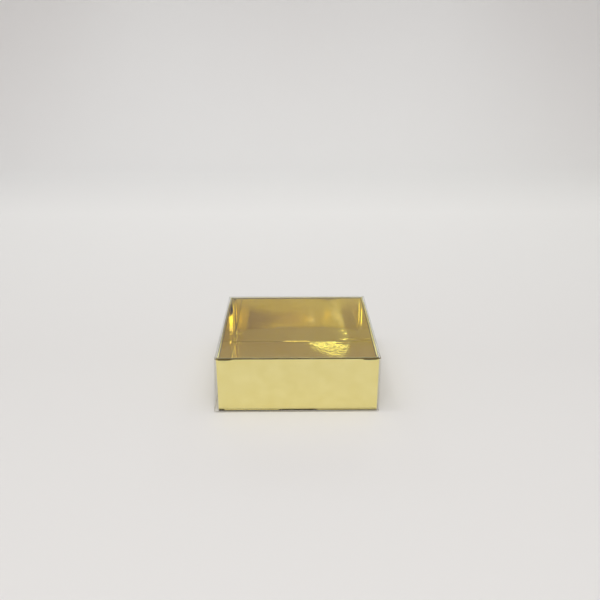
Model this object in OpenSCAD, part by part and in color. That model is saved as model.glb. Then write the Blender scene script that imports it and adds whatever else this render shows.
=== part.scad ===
// Favour box: a tray folded from one sheet of gold metallised card, under a clear lift-off lid.
// Each creased panel, flap and tab of the two folded sheets is its own piece.
// The origin is at the middle of the tray's underside, +Z is up and the front faces -Y.

/* [Tray] */
// Outside width and depth of the gold tray
tray_w = 78.4; // [60:0.2:120]
// Height of the tray, from the table to the top of its rim
tray_h = 29.2; // [18:0.2:60]
// Thickness of the metallised card
card_t = 0.4; // [0.3:0.05:0.6]
// Slack between the layers of a double wall
fold_gap = 0.1; // [0.05:0.05:0.3]
// Gap under an inner wall, which lets it fold in past the floor
foot_gap = 0.4; // [0.3:0.1:1.5]

/* [Corner flaps] */
// Length of a corner flap, tucked into the front or back double wall
flap_l = 24; // [10:1:28]
// How far each end of a corner flap's free edge slants in
flap_slant = 4; // [0:0.5:6]

/* [Locking slots] */
// Width of the slot in each bottom crease
slot_w = 16.5; // [8:0.5:30]
// Height of a slot in the outer wall
slot_rise = 1; // [0.3:0.1:1.5]
// Play between a locking tab and the edges of its slot
lock_play = 0.25; // [0.1:0.05:0.5]
// Height of a locking tab's end above the table
lock_lift = 0.1; // [0.05:0.05:0.2]

/* [Lid] */
// Thickness of the clear film
film_t = 0.3; // [0.2:0.05:0.4]
// Play between the tray and the lid's corner tabs
lid_play = 0.2; // [0.1:0.05:0.6]
// Height of the lid's lower edge above the table
skirt_lift = 0.3; // [0.1:0.1:2]
// Width of a lid's corner tab, glued behind the front or back wall
lid_tab_w = 8; // [4:0.5:14]
// How far each end of a lid tab's free edge slants in
lid_tab_slant = 3; // [0:0.5:6]

/* [Hidden] */
// A double wall is two card layers with a corner flap between them
rim_w = 3 * card_t + 2 * fold_gap;
// Panels between the front and back outer walls, and between all outer walls
floor_w = tray_w - 2 * card_t;
side_wall_l = floor_w - 2 * fold_gap;
// The outer and inner walls end under the rim strip
wall_h = tray_h - card_t;
side_rim_l = tray_w - 2 * (rim_w + fold_gap);
inner_z = card_t + foot_gap;
lock_w = slot_w - 2 * lock_play;
// Inside and outside width of the lid, and the height of its walls
lid_in_w = tray_w + 2 * (film_t + lid_play);
lid_w = lid_in_w + 2 * film_t;
skirt_h = tray_h - skirt_lift;
// How far every cut runs past the card that it cuts
overrun = 1;
// Turns from the front side to each side
TO_RIGHT = 90;
TO_BACK = 180;
TO_LEFT = 270;
GOLD = [0.84, 0.76, 0.48];
GOLD_INSIDE = [0.66, 0.57, 0.36];
CLEAR = [0.88, 0.9, 0.9, 0.3];

// A flat panel centred on X, standing on z0 with its outer face at y = -reach
module standing_panel(length, thickness, height, reach, z0) {
    translate([-length / 2, -reach, z0])
        cube([length, thickness, height]);
}

// The slot in the front bottom crease, which cuts the floor's edge and the wall's foot
module lock_slot(depth, rise) {
    translate([-slot_w / 2, -tray_w / 2 - overrun, -overrun])
        cube([slot_w, overrun + depth, overrun + rise]);
}

// An upright tab that starts at a crease at x = 0 and narrows towards its free edge
module crease_tab(width, height, slant, thickness) {
    translate([0, thickness, 0])
        rotate([90, 0, 0])
            linear_extrude(thickness)
                polygon([[0, 0], [width, slant], [width, height - slant], [0, height]]);
}

module floor_panel() {
    color(GOLD_INSIDE)
        difference() {
            translate([-floor_w / 2, -floor_w / 2, 0])
                cube([floor_w, floor_w, card_t]);
            for (turn = [0, TO_RIGHT, TO_BACK, TO_LEFT])
                rotate([0, 0, turn])
                    lock_slot(rim_w + lock_play, card_t + overrun);
        }
}

// An outer wall, with the notch of the locking slot at its foot
module outer_wall(length) {
    color(GOLD)
        difference() {
            standing_panel(length, card_t, wall_h, tray_w / 2, 0);
            lock_slot(card_t + overrun, slot_rise);
        }
}

module rim_strip(length) {
    color(GOLD)
        standing_panel(length, rim_w, card_t, tray_w / 2, wall_h);
}

// An inner wall, rolled over the rim, with the tab that locks it into the slot
module inner_wall(length) {
    reach = tray_w / 2 - rim_w + card_t;
    color(GOLD_INSIDE)
        union() {
            standing_panel(length, card_t, wall_h - inner_z, reach, inner_z);
            standing_panel(lock_w, card_t, wall_h - lock_lift, reach, lock_lift);
        }
}

// A flap of a side wall, inside the front double wall at the left corner
module corner_flap() {
    color(GOLD_INSIDE)
        translate([-floor_w / 2, -side_wall_l / 2, inner_z])
            crease_tab(flap_l, wall_h - fold_gap - inner_z, flap_slant, card_t);
}

module lid_top() {
    color(CLEAR)
        translate([-lid_w / 2, -lid_w / 2, tray_h])
            cube([lid_w, lid_w, film_t]);
}

module lid_wall(length) {
    color(CLEAR)
        standing_panel(length, film_t, skirt_h, lid_w / 2, skirt_lift);
}

// A tab of the lid's side wall, behind the front wall at the left corner
module lid_tab() {
    color(CLEAR)
        translate([-lid_in_w / 2, -lid_in_w / 2, skirt_lift])
            crease_tab(lid_tab_w, skirt_h, lid_tab_slant, film_t);
}

module front_outer_wall() { outer_wall(tray_w); }
module right_outer_wall() { rotate([0, 0, TO_RIGHT]) outer_wall(side_wall_l); }
module back_outer_wall() { rotate([0, 0, TO_BACK]) outer_wall(tray_w); }
module left_outer_wall() { rotate([0, 0, TO_LEFT]) outer_wall(side_wall_l); }

module front_rim() { rim_strip(tray_w); }
module right_rim() { rotate([0, 0, TO_RIGHT]) rim_strip(side_rim_l); }
module back_rim() { rotate([0, 0, TO_BACK]) rim_strip(tray_w); }
module left_rim() { rotate([0, 0, TO_LEFT]) rim_strip(side_rim_l); }

module front_inner_wall() { inner_wall(side_wall_l); }
module right_inner_wall() { rotate([0, 0, TO_RIGHT]) inner_wall(side_rim_l); }
module back_inner_wall() { rotate([0, 0, TO_BACK]) inner_wall(side_wall_l); }
module left_inner_wall() { rotate([0, 0, TO_LEFT]) inner_wall(side_rim_l); }

module left_front_flap() { corner_flap(); }
module right_front_flap() { mirror([1, 0, 0]) corner_flap(); }
module left_back_flap() { mirror([0, 1, 0]) corner_flap(); }
module right_back_flap() { mirror([1, 0, 0]) mirror([0, 1, 0]) corner_flap(); }

module lid_front_wall() { lid_wall(lid_w); }
module lid_right_wall() { rotate([0, 0, TO_RIGHT]) lid_wall(lid_in_w); }
module lid_back_wall() { rotate([0, 0, TO_BACK]) lid_wall(lid_w); }
module lid_left_wall() { rotate([0, 0, TO_LEFT]) lid_wall(lid_in_w); }

module lid_left_front_tab() { lid_tab(); }
module lid_right_front_tab() { mirror([1, 0, 0]) lid_tab(); }
module lid_left_back_tab() { mirror([0, 1, 0]) lid_tab(); }
module lid_right_back_tab() { mirror([1, 0, 0]) mirror([0, 1, 0]) lid_tab(); }

floor_panel();
front_outer_wall();
right_outer_wall();
back_outer_wall();
left_outer_wall();
front_rim();
right_rim();
back_rim();
left_rim();
front_inner_wall();
right_inner_wall();
back_inner_wall();
left_inner_wall();
right_front_flap();
right_back_flap();
left_back_flap();
left_front_flap();
lid_top();
lid_front_wall();
lid_right_wall();
lid_back_wall();
lid_left_wall();
lid_right_front_tab();
lid_right_back_tab();
lid_left_back_tab();
lid_left_front_tab();
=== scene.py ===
import math

import bmesh
import bpy
from mathutils import Matrix, Vector


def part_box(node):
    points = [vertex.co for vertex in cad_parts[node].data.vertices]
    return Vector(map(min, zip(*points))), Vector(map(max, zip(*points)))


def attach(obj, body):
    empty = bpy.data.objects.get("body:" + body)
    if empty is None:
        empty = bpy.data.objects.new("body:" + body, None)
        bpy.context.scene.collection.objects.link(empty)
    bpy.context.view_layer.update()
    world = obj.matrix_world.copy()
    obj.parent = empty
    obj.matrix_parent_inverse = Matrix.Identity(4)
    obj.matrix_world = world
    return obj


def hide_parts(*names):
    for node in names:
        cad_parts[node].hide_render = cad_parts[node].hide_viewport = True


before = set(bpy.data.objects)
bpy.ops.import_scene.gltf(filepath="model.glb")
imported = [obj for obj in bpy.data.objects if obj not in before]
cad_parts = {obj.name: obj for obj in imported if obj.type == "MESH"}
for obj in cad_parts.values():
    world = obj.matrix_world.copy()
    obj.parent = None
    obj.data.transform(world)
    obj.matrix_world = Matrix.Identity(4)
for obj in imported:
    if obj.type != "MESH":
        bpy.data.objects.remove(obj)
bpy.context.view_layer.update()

# A favour box: a tray folded from gold metallised card, under a clear lift-off lid. Lengths are in
# metres. The origin is at the middle of the tray's underside, +Z is up and the front faces -Y. Every
# panel is laid out as the middle surface of its sheet and then thickened.

MM = 0.001

# Sizes of the CAD frame
WALL_LOW, WALL_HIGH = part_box("front_outer_wall")
RIM_LOW, RIM_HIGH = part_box("front_rim")
INNER_LOW, INNER_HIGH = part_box("front_inner_wall")
FLAP_LOW, FLAP_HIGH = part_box("right_front_flap")
LID_LOW, LID_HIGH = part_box("lid_top")
LID_TAB_LOW, LID_TAB_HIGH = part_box("lid_right_front_tab")

TRAY_HALF = WALL_HIGH.x
CARD = WALL_HIGH.y - WALL_LOW.y
RIM_WIDTH = RIM_HIGH.y - RIM_LOW.y
WALL_TOP = RIM_LOW.z
TRAY_TOP = RIM_HIGH.z
SIDE_RIM_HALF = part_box("right_rim")[1].y
INNER_HALF = INNER_HIGH.x
LOCK_FOOT = INNER_LOW.z
INNER_START = RIM_WIDTH - CARD
FLAP_REACH = FLAP_LOW.x
FLAP_FOOT, FLAP_TOP = FLAP_LOW.z, FLAP_HIGH.z
FLAP_MIDDLE = -(FLAP_LOW.y + FLAP_HIGH.y) / 2
LID_HALF = LID_HIGH.x
FILM = LID_HIGH.z - LID_LOW.z
LID_TOP = LID_HIGH.z
LID_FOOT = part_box("lid_right_wall")[0].z
LID_TAB_REACH = LID_TAB_LOW.x
LID_TAB_MIDDLE = -(LID_TAB_LOW.y + LID_TAB_HIGH.y) / 2

# Cuts that the boxes of the nodes don't give, as in the part's source
SLOT_HALF = 8.25 * MM
SLOT_RISE = 1 * MM
LOCK_PLAY = 0.25 * MM
FLAP_SLANT = 4 * MM
LID_TAB_SLANT = 3 * MM

# Middle radius of each scored fold, and the steps of its rounding
CORNER_FOLD = 0.26 * MM
RIM_FOLD = 0.3 * MM
BOTTOM_FOLD = 0.45 * MM
FILM_FOLD = 0.35 * MM
FOLD_STEPS = 6
# Spacing of the points on a panel, and of the first ones beside a fold
GRID_STEP = 1.2 * MM
FOLD_MARGIN = 0.12 * MM
# Points this close are joined, and lengths this short count as none
WELD = 0.002 * MM
TINY = 0.0001 * MM

SIDES = {"front": 0.0, "right": math.pi / 2, "back": math.pi, "left": -math.pi / 2}
# Which way along a side leads to the back of the box
BACKWARD = {"front": 0, "right": 1, "back": 0, "left": -1}

BLACK = (0.0, 0.0, 0.0)
WHITE = (1.0, 1.0, 1.0)


# Shader maths

class Value:
    """A shader socket, whose arithmetic adds Math nodes to its material."""

    def __init__(self, shader, socket):
        self.shader = shader
        self.socket = socket

    def maths(self, operation, other):
        return self.shader.node("ShaderNodeMath", {"operation": operation}, {0: self, 1: other})

    def __add__(self, other):
        return self.maths("ADD", other)

    def __mul__(self, other):
        return self.maths("MULTIPLY", other)

    def __pow__(self, other):
        return self.maths("POWER", other)

    __radd__ = __add__
    __rmul__ = __mul__

    def capped(self, most):
        return self.maths("MINIMUM", most)


class Shader:
    """A material or the world, whose nodes are added one by one. Its colours are three numbers."""

    def __init__(self, owner):
        owner.use_nodes = True
        self.owner = owner
        self.tree = owner.node_tree
        self.tree.nodes.clear()

    def node(self, kind, settings=None, inputs=None, output=0):
        """Adds a node: its settings and a ramp's stops first, then the values or links of its
        sockets."""
        made = self.tree.nodes.new(kind)
        for name, value in (settings or {}).items():
            if name == "stops":
                set_stops(made.color_ramp.elements, value)
            else:
                setattr(made, name, value)
        for key, value in (inputs or {}).items():
            socket = made.inputs[key]
            if isinstance(value, Value):
                self.tree.links.new(value.socket, socket)
            else:
                socket.default_value = (*value, 1.0) if socket.type == "RGBA" else value
        return Value(self, made.outputs[output]) if made.outputs else None

    def ramp(self, factor, stops):
        """A Color Ramp with stops of (place, colour)."""
        return self.node("ShaderNodeValToRGB", {"stops": stops}, {0: factor})

    def rise(self, value, low, high):
        """0 up to low, 1 from high on and a straight rise between them."""
        return self.ramp(value, [(low, BLACK), (high, WHITE)])

    def mix(self, factor, first, second):
        """A Mix node between two colours."""
        inputs = {0: factor, 6: first, 7: second}
        return self.node("ShaderNodeMix", {"data_type": "RGBA"}, inputs, output=2)

    def noise(self, scale, detail):
        """Noise on the object's own coordinates, in metres."""
        place = self.node("ShaderNodeTexCoord", output="Object")
        return self.node("ShaderNodeTexNoise", {}, {"Vector": place, "Scale": scale, "Detail": detail})

    def mottled(self, noise, dark, light):
        """A tint that wanders between two colours with the noise."""
        return self.ramp(noise, [(0.3, dark), (0.7, light)])

    def fold(self):
        """1 along the folds of a sheet and at its other places painted shaded, 0 on its panels."""
        return self.node("ShaderNodeAttribute", {"attribute_name": "fold"}, output="Fac")

    def finish(self, surface):
        world = isinstance(self.owner, bpy.types.World)
        kind = "ShaderNodeOutputWorld" if world else "ShaderNodeOutputMaterial"
        self.node(kind, {}, {"Surface": surface})
        return self.owner


def set_stops(elements, stops):
    while len(elements) < len(stops):
        elements.new(1.0)
    for element, (place, colour) in zip(elements, stops):
        element.position = place
        element.color = (*colour, 1.0)


def new_shader(name):
    return Shader(bpy.data.materials.new(name))


# Finishes

def gold_foil(name, depth, scale, dark, light):
    """Gold metallised card: a mirror between two tints, with the shallow crinkle of the board under it,
    and painted shade along its folds and at the other places marked shaded."""
    shader = new_shader(name)
    mottle = shader.noise(130.0, 2.0)
    crinkle = shader.noise(scale, 1.0)
    fibre = shader.noise(5200.0, 2.0)
    height = crinkle + fibre * 0.05
    bump = shader.node("ShaderNodeBump", {}, {"Strength": 1.0, "Distance": depth, "Height": height})
    # Painted shade: the folds and marked places darken to a near black brown
    fold_shade = (shader.fold() * 4.0).capped(0.93)
    surface = shader.node("ShaderNodeBsdfPrincipled", {}, {
        "Base Color": shader.mix(fold_shade, shader.mottled(mottle, dark, light), (0.05, 0.037, 0.015)),
        "Metallic": 1.0,
        "Roughness": 0.03 + mottle * 0.03 + shader.fold() * 0.15,
        "Normal": bump,
    })
    return shader.finish(surface)


def card_core():
    """The cut edge of the card: buff board with darker fibres, and painted shade where the sheet is marked
    shaded.
    """
    shader = new_shader("card_core")
    board = shader.mottled(shader.noise(2600.0, 3.0), (0.36, 0.29, 0.15), (0.58, 0.48, 0.28))
    # Painted shade on the cut edges at the folds and marked places
    core_shade = (shader.fold() * 1.8).capped(1.0)
    surface = shader.node("ShaderNodeBsdfPrincipled", {}, {
        "Base Color": shader.mix(core_shade, board, (0.09, 0.065, 0.025)),
        "Roughness": 0.6,
    })
    return shader.finish(surface)


def clear_film():
    """Clear film: a pane that mirrors more as it is seen more edge on, with a line of painted shade along
    its folds."""
    head_on_mirror = 0.012
    edge_on_mirror = 0.42
    shader = new_shader("clear_film")
    facing = shader.node("ShaderNodeLayerWeight", {}, {"Blend": 0.5}, "Facing")
    mirror = head_on_mirror + edge_on_mirror * facing ** 3.0
    through = shader.node("ShaderNodeBsdfTransparent", {}, {"Color": (0.997, 0.997, 0.997)})
    gloss = shader.node("ShaderNodeBsdfGlossy", {}, {"Color": WHITE, "Roughness": 0.07})
    pane = shader.node("ShaderNodeMixShader", {}, {0: mirror, 1: through, 2: gloss})
    # Painted shade along the folds, a dull dark brown
    crease = shader.node("ShaderNodeBsdfPrincipled", {}, {
        "Base Color": shader.mottled(shader.noise(900.0, 2.0), (0.11, 0.08, 0.025), (0.16, 0.12, 0.04)),
        "Roughness": 0.5,
        "Specular IOR Level": 0.1,
    })
    creased = (shader.fold() * 1.4).capped(0.8)
    return shader.finish(shader.node("ShaderNodeMixShader", {}, {0: creased, 1: pane, 2: crease}))


def film_edge(name, alpha):
    """The cut edge of the film, a brownish and half solid line, its brown partly painted shade."""
    shader = new_shader(name)
    surface = shader.node("ShaderNodeBsdfPrincipled", {}, {
        # The brown tint is partly the edge itself and partly painted shade
        "Base Color": shader.mottled(shader.noise(1500.0, 2.0), (0.42, 0.36, 0.25), (0.55, 0.48, 0.36)),
        "Roughness": 0.25,
        "Alpha": alpha,
    })
    return shader.finish(surface)


# Each sheet has a material for its faces and then one for its cut edges. The edges of the glued tabs
# show less.
BOARD = card_core()
CARD_FINISH = [
    gold_foil("gold_foil", 0.008 * MM, 520.0, (0.91, 0.8, 0.32), (0.945, 0.845, 0.365)),
    BOARD,
]
# The floor's copy of the foil is darker and deeper in tint than the walls': painted shade
FLOOR_FINISH = [
    gold_foil("creased_gold_foil", 0.03 * MM, 560.0, (0.88, 0.75, 0.26), (0.91, 0.79, 0.29)),
    BOARD,
]
FILM_FINISH = [clear_film(), film_edge("film_edge", 0.45), film_edge("glued_film_edge", 0.06)]


# Sheets

def places(low, high, cuts=()):
    """Places from low to high about a grid step apart, with the given cuts among them."""
    stops = sorted({low, high, *(cut for cut in cuts if low < cut < high)})
    found = []
    for start, end in zip(stops, stops[1:]):
        count = max(1, round((end - start) / GRID_STEP))
        found += [start + (end - start) * step / count for step in range(count)]
    return [*found, high]


def both_ways(*cuts):
    """Each cut to the left and to the right of the middle."""
    return [sign * cut for sign in (-1, 1) for cut in cuts]


def flat_path(stops):
    """A straight path with no folds, through the given places."""
    return [Vector((stop, 0.0, 0.0)) for stop in stops]


def rounding(before, corner, after, radius):
    """The points of a square corner rounded to a radius. They are (first, second, fold), where fold
    rises to 1 in the middle."""
    corner = Vector(corner)
    to_before = (Vector(before) - corner).normalized()
    to_after = (Vector(after) - corner).normalized()
    centre = corner + radius * (to_before + to_after)
    points = []
    for step in range(FOLD_STEPS + 1):
        turn = math.pi / 2 * step / FOLD_STEPS
        point = centre - radius * (to_after * math.cos(turn) + to_before * math.sin(turn))
        points.append(Vector((*point, 1 - abs(2 * step / FOLD_STEPS - 1))))
    return points


def rounded_path(corners, radii):
    """A path of (first, second, fold) through square corners, each rounded to its radius, with points
    along its straight stretches."""
    path = [Vector((*corners[0], 0.0))]
    for before, corner, after, radius in zip(corners, corners[1:], corners[2:], radii):
        path += rounding(before, corner, after, radius)
    path.append(Vector((*corners[-1], 0.0)))
    fine = [path[0]]
    for start, end in zip(path, path[1:]):
        length = (end.xy - start.xy).length
        if length < WELD:
            continue
        if length > 4 * FOLD_MARGIN:
            steps = places(FOLD_MARGIN, length - FOLD_MARGIN)
            fine += [start.lerp(end, step / length) for step in steps]
        fine.append(end)
    return fine


def cut_path(path, levels):
    """The path with a point added wherever its second value crosses one of the levels."""
    fine = [path[0]]
    for start, end in zip(path, path[1:]):
        crossed = [level for level in levels if (start.y - level) * (end.y - level) < -TINY * TINY]
        for level in sorted(crossed, key=lambda level: abs(level - start.y)):
            fine.append(start.lerp(end, (level - start.y) / (end.y - start.y)))
        fine.append(end)
    return fine


def add_patch(mesh, fold, columns, path, place, keep):
    """Adds a grid of points to the mesh, and the faces between them that stay."""
    grid = []
    for column in columns:
        grid.append([mesh.verts.new(place(column, point)) for point in path])
        for vertex, point in zip(grid[-1], path):
            vertex[fold] = point.z
    for i, (u0, u1) in enumerate(zip(columns, columns[1:])):
        for j, (p0, p1) in enumerate(zip(path, path[1:])):
            if keep((u0 + u1) / 2, (p0 + p1) / 2):
                corners = (grid[i][j], grid[i + 1][j], grid[i + 1][j + 1], grid[i][j + 1])
                mesh.faces.new(corners)


def new_object(name, mesh, materials):
    """Turns a bmesh into an object of the scene."""
    data = bpy.data.meshes.new(name)
    mesh.to_mesh(data)
    mesh.free()
    for material in materials:
        data.materials.append(material)
    made = bpy.data.objects.new(name, data)
    bpy.context.scene.collection.objects.link(made)
    return made


def folded_sheet(name, patches, thickness, finish, edge_slot=1):
    """A sheet made of patches that join along their edges. A patch is (columns, path, place, keep):
    place(column, point) gives a point of the middle surface, and keep(column, point) says whether the
    face there stays or is cut away. Cut edges take the material in the edge slot."""
    mesh = bmesh.new()
    fold = mesh.verts.layers.float.new("fold")
    for patch in patches:
        add_patch(mesh, fold, *patch)
    loose = [vertex for vertex in mesh.verts if not vertex.link_faces]
    bmesh.ops.delete(mesh, geom=loose, context="VERTS")
    bmesh.ops.remove_doubles(mesh, verts=mesh.verts, dist=WELD)
    bmesh.ops.recalc_face_normals(mesh, faces=mesh.faces)
    piece = new_object(name, mesh, finish)
    solidify = piece.modifiers.new("thickness", "SOLIDIFY")
    solidify.thickness = thickness
    solidify.offset = 0.0
    solidify.use_even_offset = True
    solidify.material_offset_rim = edge_slot
    apply_modifiers(piece)
    return piece


def apply_modifiers(piece):
    """Makes the modified mesh the piece's own, with its sharp edges marked."""
    bpy.context.view_layer.update()
    before = piece.data
    shaped = piece.evaluated_get(bpy.context.evaluated_depsgraph_get())
    made = bpy.data.meshes.new_from_object(shaped)
    piece.modifiers.clear()
    piece.data = made
    bpy.data.meshes.remove(before)
    made.name = piece.name
    made.shade_smooth()
    made.set_sharp_from_angle(angle=math.radians(40))


def glue(piece, part):
    """Joins a part to the piece as one solid, with no faces left between them."""
    union = piece.modifiers.new("glue", "BOOLEAN")
    union.operation = "UNION"
    union.solver = "EXACT"
    union.object = part
    apply_modifiers(piece)
    spare = part.data
    bpy.data.objects.remove(part)
    bpy.data.meshes.remove(spare)


def at_side(side, half):
    """A function that turns (along, inward, up) at a side, that far from the middle, to (x, y, z)."""
    turn = Matrix.Rotation(SIDES[side], 3, "Z")
    return lambda along, inward, up: turn @ Vector((along, inward - half, up))


def taper(share):
    """1 in the middle of a panel and 0 at its ends, where share is -1 and 1."""
    return max(0.0, 1 - share * share)


def ease(start, end, value):
    """0 at the start, 1 at the end and a smooth rise between them."""
    share = min(max((value - start) / (end - start), 0.0), 1.0)
    return share * share * (3 - 2 * share)


# The waves of a sheet's unevenness: height, scale along each of two directions, and shift by seed
WAVES = (
    (1.0, 9 * MM, 21 * MM, 1.0),
    (1.0, 15 * MM, -8 * MM, 2.3),
    (0.6, 5 * MM, 17 * MM, 4.1),
)


def swell(first, second, seed):
    """A slow unevenness between -1 and 1, over two lengths."""
    total = 0.0
    for height, first_scale, second_scale, shift in WAVES:
        total += height * math.sin(first / first_scale + second / second_scale + shift * seed)
    return total / sum(wave[0] for wave in WAVES)


def always(column, point):
    return True


# The gold tray

# The bottom crease and the floor meet this far in from the outside, under the inner wall
FLOOR_SEAM = 0.85 * MM
# An inner wall ends this far above the table on both sides of its locking tab, low enough to meet
# the floor
INNER_FOOT = 0.5 * MM
# A side wall ends here and folds round into its corner flaps
SIDE_WALL_END = FLAP_MIDDLE - CORNER_FOLD
# How much painted shade the inner fold of a side rim gets, beside its outer one
INNER_FOLD_SHADE = 0.35
# How far the rim of a side wall leans out, and how much more that is at the back of the box
RIM_SPLAY = 0.12 * MM
BACK_SPLAY = 0.25 * MM
# How far out the feet of the inner layers stand, at the sides and at the front and back
FOOT_LEAN = 0.6 * MM
END_FOOT_LEAN = 0.04 * MM
# The roll at the top of an outer wall: how far down it starts, how far in it goes, and how much
# further it goes past the place where its ends start
ROLL_DEPTH = 1.3 * MM
ROLL_IN = 0.12 * MM
ROLL_IN_NEAR_ENDS = 0.3 * MM
ROLL_ENDS_START = 30 * MM
# Unevenness of the two layers, the inward bow of the inner one, and their seeds
OUTER_WAVE = 0.04 * MM
INNER_WAVE = 0.1 * MM
INNER_BOW = 0.03 * MM
OUTER_SEED = 1.0
INNER_SEED = 2.5
# The bulge of an inner side wall: its height, then where it starts, crests and ends towards the back
BULGES = {
    "left": (1.3 * MM, 11 * MM, 28 * MM, 34.5 * MM),
    "right": (0.4 * MM, 26.5 * MM, 31 * MM, 35 * MM),
}
# How far above the table and below the rim a bulge has its whole height
BULGE_FOOT = 12 * MM
BULGE_HEAD = 4 * MM
# The ridge along the foot of an inner wall: its height above the table, half its width, and how far
# it stands out
RIPPLE_HEIGHT = 1.3 * MM
RIPPLE_WIDTH = 0.9 * MM
RIPPLE_RISE = 0.12 * MM
# How far the ridge stands out in the back right corner, and where that starts and is whole
CORNER_RISE = 0.04 * MM
CORNER_START = 31 * MM
CORNER_END = 34 * MM
# How far a locking tab bends out into its slot. The front one bends further, from this height down,
# and takes the wall along up to this far beside it.
TUCK = 0.4 * MM
FRONT_TUCK = 0.9 * MM
FRONT_TUCK_HEIGHT = 2 * MM
FRONT_TUCK_SIDE = 4 * MM
# The painted shade at each end of a front or back rim: its middle, half its length, its depth and how
# strong it is
END_SHADE_MIDDLE = 35 * MM
END_SHADE_HALF = 4.5 * MM
END_SHADE_DEPTH = 1.1 * MM
END_SHADE_STRENGTH = 1.5
# The painted shade along the foot of the left wall: the heights at which it is whole and ends, and the
# places towards the back
LEFT_SHADE_WHOLE = 0.8 * MM
LEFT_SHADE_TOP = 1.4 * MM
LEFT_SHADE_BACK_WHOLE = 26 * MM
LEFT_SHADE_BACK_END = 31 * MM
# Heights at which a wall has points for its slot, ridge and tuck, and depths below its top for its
# roll
FOOT_LEVELS = (SLOT_RISE, INNER_FOOT, 0.8 * MM, RIPPLE_HEIGHT, 1.8 * MM, 2.4 * MM)
ROLL_LEVELS = (0.0, 0.3 * MM, 0.7 * MM)
# How far the floor bows up, how uneven it is, and the seed of that
FLOOR_BOW = 0.5 * MM
FLOOR_WAVE = 0.12 * MM
FLOOR_SEED = 0.7
# How far a notch of the floor reaches in past the locking tab
NOTCH_PLAY = 0.05 * MM
# Rows of faces in the height of a corner flap
FLAP_ROWS = 18


def rim_splay(side, along):
    """How far the rim of a side wall leans out: more towards the back of the box."""
    backward = BACKWARD[side] * along / TRAY_HALF
    if not backward:
        return 0.0
    return (RIM_SPLAY + BACK_SPLAY * backward) * taper(along / TRAY_HALF)


def top_roll(along, inward, up):
    """How far the top of an outer wall rolls in before the rim, most near its ends."""
    rise = max(0.0, 1 - (TRAY_TOP - up) / ROLL_DEPTH)
    near_end = (abs(along) - ROLL_ENDS_START) / (TRAY_HALF - ROLL_ENDS_START)
    near_end = min(max(near_end, 0.0), 1.0)
    outer = max(0.0, 1 - inward / INNER_START)
    return (ROLL_IN + ROLL_IN_NEAR_ENDS * taper(2 * near_end - 1)) * rise * rise * outer


def inner_bulge(side, along, up):
    """How far a side wall's inner layer bulges into the box near its back end."""
    if side not in BULGES:
        return 0.0
    height, start, crest, end = BULGES[side]
    back = BACKWARD[side] * along
    swelling = ease(start, crest, back) * (1 - ease(crest, end, back))
    return height * swelling * ease(TRAY_TOP - CARD, TRAY_TOP - BULGE_HEAD, up) * ease(0.0, BULGE_FOOT, up)


def ripple(side, along, up):
    """A shallow ridge that comes and goes along the foot of an inner wall, most in one corner."""
    pace = 2.5
    gap = 0.25
    crest = taper(min(1.0, abs(up - RIPPLE_HEIGHT) / RIPPLE_WIDTH)) ** 2
    stretch = max(0.0, swell(pace * along, 0.0, SIDES[side]) - gap)
    towards_corner = {"back": -along, "right": along}.get(side, 0.0)
    corner = ease(CORNER_START, CORNER_END, towards_corner)
    return (RIPPLE_RISE * stretch + CORNER_RISE * corner) * crest


def tuck(side, along, up):
    """How far the foot of an inner wall bends out into its slot."""
    if side != "front":
        return TUCK * max(0.0, 1 - up / INNER_FOOT)
    near_slot = ease(SLOT_HALF + FRONT_TUCK_SIDE, SLOT_HALF, abs(along))
    return FRONT_TUCK * near_slot * max(0.0, 1 - up / FRONT_TUCK_HEIGHT) ** 2


def wall_shift(side, along, inward, up):
    """How much further in the card of a double wall stands than a flat wall would."""
    height = min(max(up / TRAY_TOP, 0.0), 1.0)
    belly = math.sin(math.pi * height) * taper(along / TRAY_HALF)
    splay = rim_splay(side, along) * height
    if inward < INNER_START:
        wave = OUTER_WAVE * swell(along, up, 2 * SIDES[side] + OUTER_SEED)
        return belly * wave + top_roll(along, inward, up) - splay
    wave = INNER_BOW + INNER_WAVE * swell(along, up, 2 * SIDES[side] + INNER_SEED)
    bends = inner_bulge(side, along, up) + ripple(side, along, up) - tuck(side, along, up)
    lean = (FOOT_LEAN if BACKWARD[side] else END_FOOT_LEAN) * (1 - height)
    return belly * wave + bends - splay - lean


def rim_end_shade(point):
    """Over 1 in the middle of the painted shade at each end of a front or back rim's outer fold."""
    if abs(point.y) <= TRAY_HALF - CARD:
        return 0.0
    across = (abs(point.x) - END_SHADE_MIDDLE) / END_SHADE_HALF
    down = (TRAY_TOP - point.z) / END_SHADE_DEPTH
    return (1 - across * across - down * down) * END_SHADE_STRENGTH


def shaded_left_foot(point):
    """1 at the foot of the left wall's inner layer and of the front wall beside it, and 0 towards the back
    corner: painted shade."""
    if not CARD < point.x + TRAY_HALF < RIM_WIDTH + CARD:
        return 0.0
    return ease(LEFT_SHADE_TOP, LEFT_SHADE_WHOLE, point.z) * ease(LEFT_SHADE_BACK_END, LEFT_SHADE_BACK_WHOLE, point.y)


def slot_shade(vertex):
    """1 on the outer face of a locking tab, where it passes through its slot: painted shade in the slot.
    """
    across, out = sorted((abs(vertex.co.x), abs(vertex.co.y)))
    in_slot = across < SLOT_HALF and vertex.co.z < SLOT_RISE + CARD
    behind = out < TRAY_HALF - CARD or vertex.co.z < SLOT_RISE - WELD
    facing_out = vertex.normal.xy.dot(vertex.co.xy) > 0
    return 1.0 if in_slot and behind and facing_out else 0.0


def shade_card(wall):
    """Marks where a wall gets painted shade away from its folds too."""
    marks = wall.data.attributes["fold"].data
    for vertex in wall.data.vertices:
        mark = marks[vertex.index]
        # Painted shade at the rim ends, on the locking tabs in their slots and along the left foot
        shade_mark = max(rim_end_shade(vertex.co), slot_shade(vertex), shaded_left_foot(vertex.co))
        mark.value = min(1.0, max(mark.value, shade_mark))


def press_flat(wall):
    """Lets no point of a wall reach below the table."""
    for vertex in wall.data.vertices:
        vertex.co.z = max(vertex.co.z, 0.0)


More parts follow.
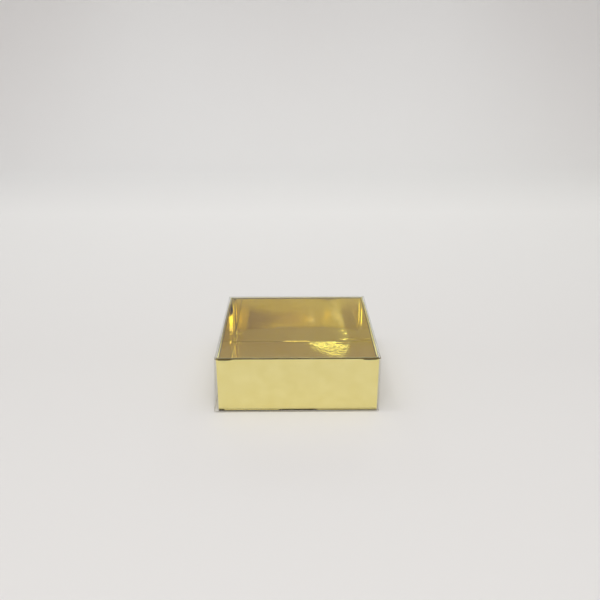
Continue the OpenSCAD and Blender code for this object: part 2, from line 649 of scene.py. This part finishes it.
def wall_path(between):
    """The section of a double wall, from the bottom crease over the rim to the locking tab."""
    middle = CARD / 2
    inner = RIM_WIDTH - middle
    corners = [
        (FLOOR_SEAM, middle), (middle, middle), (middle, TRAY_TOP - middle),
        (inner, TRAY_TOP - middle), (inner, LOCK_FOOT),
    ]
    path = rounded_path(corners, (BOTTOM_FOLD, RIM_FOLD, RIM_FOLD))
    path = cut_path(path, [*FOOT_LEVELS, *(WALL_TOP - depth for depth in ROLL_LEVELS)])
    for point in path:
        # The inner fold of a side rim gets less painted shade
        if between and point.x > INNER_START - RIM_FOLD:
            point.z *= INNER_FOLD_SHADE
    return path


def double_wall(side):
    """An outer wall with its bottom crease, rolled over the rim and down to the locking tab. The side
    walls stand between the front and back ones."""
    between = BACKWARD[side] != 0
    outer_half = SIDE_WALL_END if between else TRAY_HALF
    rim_half = SIDE_RIM_HALF if between else TRAY_HALF
    inner_half = SIDE_RIM_HALF if between else INNER_HALF
    lock_half = SLOT_HALF - LOCK_PLAY
    columns = places(-outer_half, outer_half, both_ways(SLOT_HALF, lock_half, rim_half, inner_half))
    position = at_side(side, TRAY_HALF)

    def place(along, point):
        inward, up = point.xy
        return position(along, inward + wall_shift(side, along, inward, up), up)

    def keep(along, point):
        inward, up = point.xy
        reach = abs(along)
        if up > WALL_TOP:
            return reach < rim_half
        if inward > INNER_START:
            return reach < (inner_half if up > INNER_FOOT else lock_half)
        return reach > SLOT_HALF or up > SLOT_RISE

    patch = (columns, wall_path(between), place, keep)
    piece = folded_sheet(f"{side}_double_wall", [patch], CARD, CARD_FINISH)
    shade_card(piece)
    press_flat(piece)
    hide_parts(f"{side}_outer_wall", f"{side}_rim", f"{side}_inner_wall")
    return piece


def floor_rise(x, y):
    """How far the tray's floor bows up off the table."""
    half = TRAY_HALF - FLOOR_SEAM
    bow = taper(x / half) * taper(y / half)
    return bow * (FLOOR_BOW + FLOOR_WAVE * (1 + swell(x, y, FLOOR_SEED)))


def tray_floor():
    """The floor, with the notches of the four locking slots in its edges."""
    half = TRAY_HALF - FLOOR_SEAM
    notch_y = TRAY_HALF - RIM_WIDTH - NOTCH_PLAY
    notch_x = notch_y + FOOT_LEAN
    columns = places(-half, half, both_ways(SLOT_HALF, notch_x))
    rows = flat_path(places(-half, half, both_ways(SLOT_HALF, notch_y)))

    def place(x, point):
        return Vector((x, point.x, CARD / 2 + floor_rise(x, point.x)))

    def keep(x, point):
        in_side_slot = abs(x) > notch_x and abs(point.x) < SLOT_HALF
        in_end_slot = abs(point.x) > notch_y and abs(x) < SLOT_HALF
        return not (in_side_slot or in_end_slot)

    piece = folded_sheet("tray_floor", [(columns, rows, place, keep)], CARD, FLOOR_FINISH)
    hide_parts("floor_panel")
    return piece


def corner_flap(side, end):
    """The flap that a side wall folds round the corner, into the front or back double wall."""
    toward = BACKWARD[side] * (1 if end == "back" else -1)
    middle = CARD / 2
    root = middle + CORNER_FOLD
    reach = TRAY_HALF - FLAP_REACH
    corners = [(SIDE_WALL_END, middle), (FLAP_MIDDLE, middle), (FLAP_MIDDLE, reach)]
    plan = rounded_path(corners, (CORNER_FOLD,))
    heights = [step / FLAP_ROWS for step in range(FLAP_ROWS + 1)]
    position = at_side(side, TRAY_HALF)

    def place(height, point):
        along, inward = point.xy
        free = max(0.0, (inward - root) / (reach - root))
        low = FLAP_FOOT + FLAP_SLANT * free
        high = FLAP_TOP - FLAP_SLANT * free
        up = low + (high - low) * height
        shift = wall_shift(side, toward * SIDE_WALL_END, 0.0, up) * (1 - free)
        return position(toward * along, inward + shift, up)

    piece = folded_sheet(f"{side}_{end}_tuck_flap", [(heights, plan, place, always)], CARD, CARD_FINISH)
    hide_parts(f"{side}_{end}_flap")
    return piece


def gold_tray():
    pieces = [tray_floor()]
    pieces += [double_wall(side) for side in SIDES]
    pieces += [corner_flap(side, end) for side in ("right", "left") for end in ("front", "back")]
    for piece in pieces:
        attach(piece, "base")


# The clear lid

# The middle of the film lies this far in from the outside on a wall, and this far in its folds end
FILM_MIDDLE = FILM / 2
FOLD_END = FILM_MIDDLE + FILM_FOLD
# Where the flat part of the lid's top ends, where its side walls end, and the top of a flat wall
LID_TOP_HALF = LID_HALF - FOLD_END
LID_SIDE_HALF = LID_TAB_MIDDLE - FILM_FOLD
LID_WALL_TOP = LID_TOP - FOLD_END
# How far out the lower edges of the walls stand, and where along a wall's way out that starts
LEFT_FLARE = 1.5 * MM
RIGHT_FLARE = 0.1 * MM
FRONT_FLARE = 0.5 * MM
BACK_FLARE = 0.1 * MM
FLARE_START = 0.8 * LID_HALF
# How far a wall bulges, and how far the top sags and how uneven it is, with the seed of that
WALL_BELLY = 0.05 * MM
TOP_SAG = 0.2 * MM
TOP_WAVE = 0.1 * MM
TOP_SEED = 2.0
# How deep a glued tab sinks into the film that it joins, and how long its root inside the wall is
GLUE_SINK = 0.03 * MM
TAB_ROOT = 0.5 * MM
# How much painted shade the foot of the front wall gets, up to this height above its edge, and how much
# fainter the folds' painted shade is from this far behind the front wall on
FOOT_SHADE = 0.22
FOOT_SHADE_TOP = 0.6 * MM
FADED = 0.7
FADE_START = 1.5 * MM
FADE_END = 3 * MM


def film_depth(up):
    """How far down a wall of the lid a height is: 0 at the crease of the top, 1 at the table."""
    return min(max((LID_WALL_TOP - up) / LID_WALL_TOP, 0.0), 1.0)


def film_shift(side, along, up):
    """How far a wall of the lid bulges."""
    belly = math.sin(math.pi * film_depth(up)) * taper(along / LID_HALF)
    return WALL_BELLY * belly * (1 + swell(along, up, SIDES[side]))


def film_sag(x, y):
    """How far the lid's top hangs down between the rims of the tray."""
    half = TRAY_HALF - RIM_WIDTH
    bow = taper(min(1.0, abs(x) / half)) * taper(min(1.0, abs(y) / half))
    return bow * (TOP_SAG + TOP_WAVE * swell(x, y, TOP_SEED))


def flare_walls(lid):
    """Lets the lid's walls stand out towards their free edges, the left one most."""
    for vertex in lid.data.vertices:
        x, y, z = vertex.co
        share_x = film_depth(z) * ease(FLARE_START, LID_HALF, abs(x))
        share_y = film_depth(z) * ease(FLARE_START, LID_HALF, abs(y))
        vertex.co.x += math.copysign(LEFT_FLARE if x < 0 else RIGHT_FLARE, x) * share_x
        vertex.co.y += math.copysign(FRONT_FLARE if y < 0 else BACK_FLARE, y) * share_y


def shade_film(lid):
    """Paints shade on the foot of the lid's front and makes the painted shade of the folds away from the
    front fainter.
    """
    marks = lid.data.attributes["fold"].data
    for vertex in lid.data.vertices:
        x, y, z = vertex.co
        behind = ease(FADE_START, FADE_END, y + LID_HALF)
        foot = z < LID_FOOT + 1.5 * FOLD_MARGIN and abs(x) < TRAY_HALF
        mark = marks[vertex.index]
        mark.value = max(mark.value * (1 - FADED * behind), FOOT_SHADE * foot * (1 - behind))


def lid_tab(side, end):
    """A tab of a side wall, folded round the corner and glued behind the front or back wall. It runs
    a little way into both walls, to be joined to them."""
    outward = 1 if end == "back" else -1
    toward = BACKWARD[side] * outward
    reach = LID_HALF - LID_TAB_REACH
    behind = LID_TAB_MIDDLE + GLUE_SINK
    top = LID_WALL_TOP - GLUE_SINK
    corners = [(LID_SIDE_HALF - TAB_ROOT, FILM_MIDDLE), (behind, FILM_MIDDLE), (behind, reach)]
    plan = rounded_path(corners, (FILM_FOLD,))
    heights = places(LID_FOOT + GLUE_SINK, top)
    position = at_side(side, LID_HALF)

    def place(up, point):
        along, inward = point.xy
        free = max(0.0, (inward - FOLD_END) / (reach - FOLD_END))
        share = (up - LID_FOOT) / (top - LID_FOOT)
        slant = LID_TAB_SLANT * free * (1 - 2 * share)
        bulge = film_shift(side, toward * LID_SIDE_HALF, up) * (1 - free)
        found = position(toward * along, inward - bulge, up + slant)
        behind_wall = min(1.0, max(0.0, (inward - FILM_MIDDLE) / FILM_FOLD))
        found.y += outward * behind_wall * film_shift(end, -outward * found.x, up)
        return found

    return folded_sheet("lid_tab", [(heights, plan, place, always)], FILM - GLUE_SINK, FILM_FINISH, 2)


def lid_top_patch():
    """The flat top of the lid, inside its folds."""
    columns = places(-LID_TOP_HALF, LID_TOP_HALF, both_ways(LID_SIDE_HALF))

    def place(x, point):
        return Vector((x, point.x, LID_TOP - FILM_MIDDLE - film_sag(x, point.x)))

    return columns, flat_path(columns), place, always


def lid_wall_patch(side):
    """A wall of the lid with its fold to the top. The side walls stand between the other two."""
    low_half = LID_SIDE_HALF if BACKWARD[side] else LID_HALF
    wide = max(low_half, LID_TOP_HALF)
    columns = places(-wide, wide, both_ways(LID_TOP_HALF, LID_SIDE_HALF))
    high = LID_TOP - FILM_MIDDLE
    section = rounded_path([(FILM_MIDDLE, LID_FOOT), (FILM_MIDDLE, high), (FOLD_END, high)], (FILM_FOLD,))
    section = cut_path(section, [LID_FOOT + FOOT_SHADE_TOP])
    position = at_side(side, LID_HALF)

    def place(along, point):
        inward, up = point.xy
        return position(along, inward - film_shift(side, along, up), up)

    def keep(along, point):
        return abs(along) < (low_half if point.y < LID_WALL_TOP else LID_TOP_HALF)

    return columns, section, place, keep


def clear_lid():
    """The whole lid, one sheet of film: its top, four walls and the four tabs of its side walls."""
    patches = [lid_top_patch(), *(lid_wall_patch(side) for side in SIDES)]
    piece = folded_sheet("lid_film", patches, FILM, FILM_FINISH)
    for side in ("left", "right"):
        for end in ("front", "back"):
            glue(piece, lid_tab(side, end))
    shade_film(piece)
    flare_walls(piece)
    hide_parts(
        "lid_top", "lid_front_wall", "lid_right_wall", "lid_back_wall", "lid_left_wall",
        "lid_right_front_tab", "lid_right_back_tab", "lid_left_back_tab", "lid_left_front_tab",
    )
    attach(piece, "lid")


gold_tray()
clear_lid()


# The stage

# Lamps that show as warm and as cool glints in the foil and the film
WARM = (1.0, 0.93, 0.4)
COOL = (0.82, 0.96, 1.0)
# The camera: its lens and the width of its picture plane in millimetres, its place, how far it looks
# down, and how far it turns
LENS = 37.656
PICTURE_WIDTH = 36.0
CAMERA_PLACE = (-0.00202, -0.3067, 0.1696)
CAMERA_DOWN = 0.3905
CAMERA_TURN = -0.0116


def studio_paper():
    """Pale seamless paper, with painted light and shade: paler towards the back of the table, and up the
    backdrop, where the foil mirrors it, bands and patches of painted light and shade, dark at the top.
    """
    shader = new_shader("studio_paper")
    place = shader.node("ShaderNodeTexCoord", output="Object")
    split = [shader.node("ShaderNodeSeparateXYZ", {}, {0: place}, axis) for axis in "XYZ"]
    across, far, height = split
    # Painted light along the table: paler from the box back towards the backdrop, a little less up the
    # curve
    paper = shader.ramp(far, [
        (0.02, (0.755, 0.745, 0.735)),
        (0.2, (0.825, 0.82, 0.81)),
        (0.35, (0.885, 0.88, 0.87)),
        (0.6, (0.83, 0.825, 0.82)),
    ])
    # Painted light and shade across the backdrop, which the foil mirrors: shaded to the left, lit to the
    # right
    shade = shader.ramp(across * 2.0 + 0.5, [
        (0.26, (0.42, 0.38, 0.5)),
        (0.5, (0.78, 0.7, 0.62)),
        (0.72, (0.93, 0.91, 0.62)),
    ])
    # Painted light: a pale band low on the backdrop and another higher up
    shade = shader.mix(shader.rise(height, 0.345, 0.37), (0.95, 0.96, 0.78), shade)
    shade = shader.mix(shader.rise(height, 0.44, 0.46), shade, (0.95, 0.93, 0.88))
    tint = shader.mix(shader.rise(height, 0.26, 0.34), paper, shade)
    # Painted shade at the top of the backdrop
    tint = shader.mix(shader.rise(height, 0.49, 0.57), tint, (0.16, 0.15, 0.15))
    surface = shader.node("ShaderNodeBsdfPrincipled", {}, {"Base Color": tint, "Roughness": 0.9})
    return shader.finish(surface)


def backdrop():
    """Seamless paper: a flat table that curves up behind the box."""
    start, radius, top, front, half_width, steps = 0.56, 0.25, 1.0, -1.6, 1.8, 24
    section = [(front, 0.0), (start, 0.0)]
    for step in range(1, steps + 1):
        turn = math.pi / 2 * step / steps
        section.append((start + radius * math.sin(turn), radius * (1 - math.cos(turn))))
    section.append((start + radius, top))
    mesh = bmesh.new()
    rows = [[mesh.verts.new((x, y, z)) for x in (-half_width, half_width)] for y, z in section]
    for low, high in zip(rows, rows[1:]):
        mesh.faces.new((low[0], low[1], high[1], high[0]))
    paper = new_object("seamless_paper", mesh, [studio_paper()])
    paper.data.shade_smooth()


def softbox(name, place, size, power, target=(0, 0, 0), roll=0, colour=WHITE):
    """A rectangular soft lamp that points at the target, rolled by some degrees."""
    lamp = bpy.data.lights.new(name, "AREA")
    lamp.color = colour
    lamp.shape = "RECTANGLE"
    lamp.size, lamp.size_y = size
    lamp.energy = power
    made = bpy.data.objects.new(name, lamp)
    made.visible_camera = False
    made.location = place
    turn = (Vector(target) - Vector(place)).to_track_quat("-Z", "Y").to_matrix()
    made.rotation_euler = (turn @ Matrix.Rotation(math.radians(roll), 3, "Z")).to_euler()
    bpy.context.scene.collection.objects.link(made)


def studio_lamps():
    """Soft light from above, and small lamps of the room that only show as glints."""
    softbox("overhead_softbox", (0.0, -0.4, 1.35), (1.0, 0.8), 2.65)
    softbox("front_softbox", (0.0, -0.6, 1.0), (0.7, 0.35), 4.6)
    softbox("back_softbox", (0.0, 0.25, 1.2), (0.9, 0.4), 1.2, target=(0, 0.7, 0.05))
    softbox("left_lamp", (-0.43, -0.05, 1.13), (0.15, 0.15), 0.9)
    softbox("far_left_lamp", (-0.65, -0.05, 1.1), (0.15, 0.15), 0.45)
    softbox("right_lamp", (0.57, -0.05, 1.12), (0.15, 0.15), 0.6)
    softbox("room_lamp", (0.086, -0.9, 0.413), (0.11, 0.01), 0.015, roll=28, colour=COOL)
    softbox("room_panel", (0.26, -0.9, 0.472), (0.16, 0.03), 0.03)
    softbox("right_panel", (0.27, 0.75, 0.42), (0.14, 0.13), 0.2, colour=COOL)
    softbox("left_panel", (-0.27, 0.75, 0.42), (0.14, 0.13), 0.2, colour=COOL)
    softbox("ceiling_spot", (0.026, 0.78, 0.383), (0.016, 0.01), 0.0007, colour=WARM)
    softbox("ceiling_lamp", (0.082, 0.78, 0.374), (0.01, 0.035), 0.0013, roll=33, colour=WARM)


def studio_world():
    """Soft light from above, fainter towards the horizon."""
    world = bpy.data.worlds.new("studio")
    shader = Shader(world)
    place = shader.node("ShaderNodeTexCoord", output="Generated")
    height = shader.node("ShaderNodeSeparateXYZ", {}, {0: place}, "Z")
    glow = shader.ramp(height, [
        (0.0, (0.06, 0.055, 0.055)),
        (0.25, (0.16, 0.14, 0.145)),
        (0.37, (0.44, 0.37, 0.33)),
        (0.6, (0.41, 0.385, 0.37)),
        (0.8, (0.42, 0.41, 0.4)),
        (1.0, (0.52, 0.52, 0.52)),
    ])
    shader.finish(shader.node("ShaderNodeBackground", {}, {"Color": glow, "Strength": 1.0}))
    bpy.context.scene.world = world


def camera():
    """The photograph's viewpoint: a little left of the middle, 22 degrees above the table."""
    lens = bpy.data.cameras.new("camera")
    lens.sensor_width = PICTURE_WIDTH
    lens.lens = LENS
    lens.clip_start = 10 * MM
    made = bpy.data.objects.new("camera", lens)
    made.location = CAMERA_PLACE
    made.rotation_euler = (math.pi / 2 - CAMERA_DOWN, 0.0, CAMERA_TURN)
    bpy.context.scene.collection.objects.link(made)
    bpy.context.scene.camera = made


backdrop()
studio_lamps()
studio_world()
camera()
bpy.context.scene.view_settings.view_transform = "Standard"
